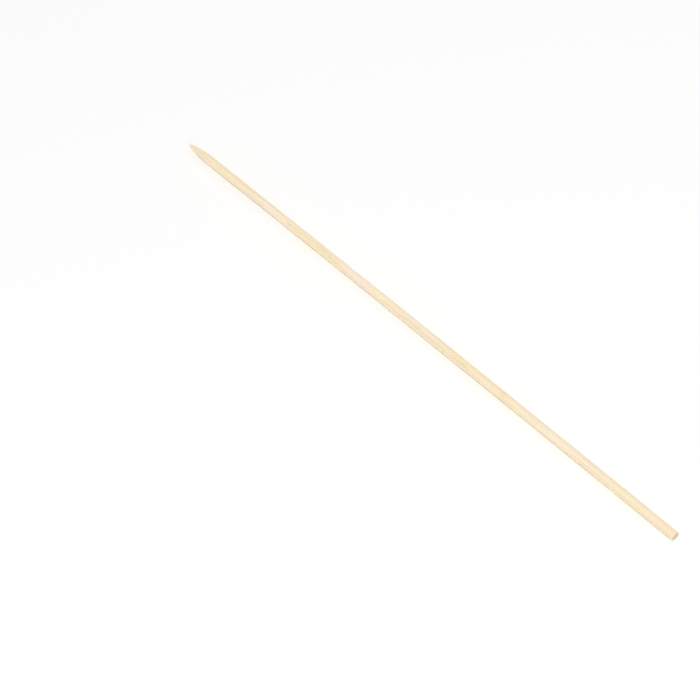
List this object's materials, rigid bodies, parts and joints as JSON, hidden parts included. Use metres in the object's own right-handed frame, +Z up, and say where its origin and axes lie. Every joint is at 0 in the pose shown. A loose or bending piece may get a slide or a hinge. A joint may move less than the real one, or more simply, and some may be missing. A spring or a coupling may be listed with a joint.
{
  "type": "bamboo skewer",
  "caption": "Round bamboo skewer: a plain straight stick, ground to a long rounded point at one end and sawn off square at the other, lying on its side.",
  "frame": {"origin": "on the level plane that the stick lies along, under the middle of its bounding box", "axes": "+X runs along the stick from the point to the sawn end, +Z is up, and +Y is level, to the side that the stick's middle bows towards"},
  "size_m": [0.3, 0.0046, 0.004],
  "materials": {
    "bamboo": "sanded bare bamboo"
  },
  "bodies": {
    "root": {"bamboo_stick": "bamboo"}
  },
  "joints": []
}
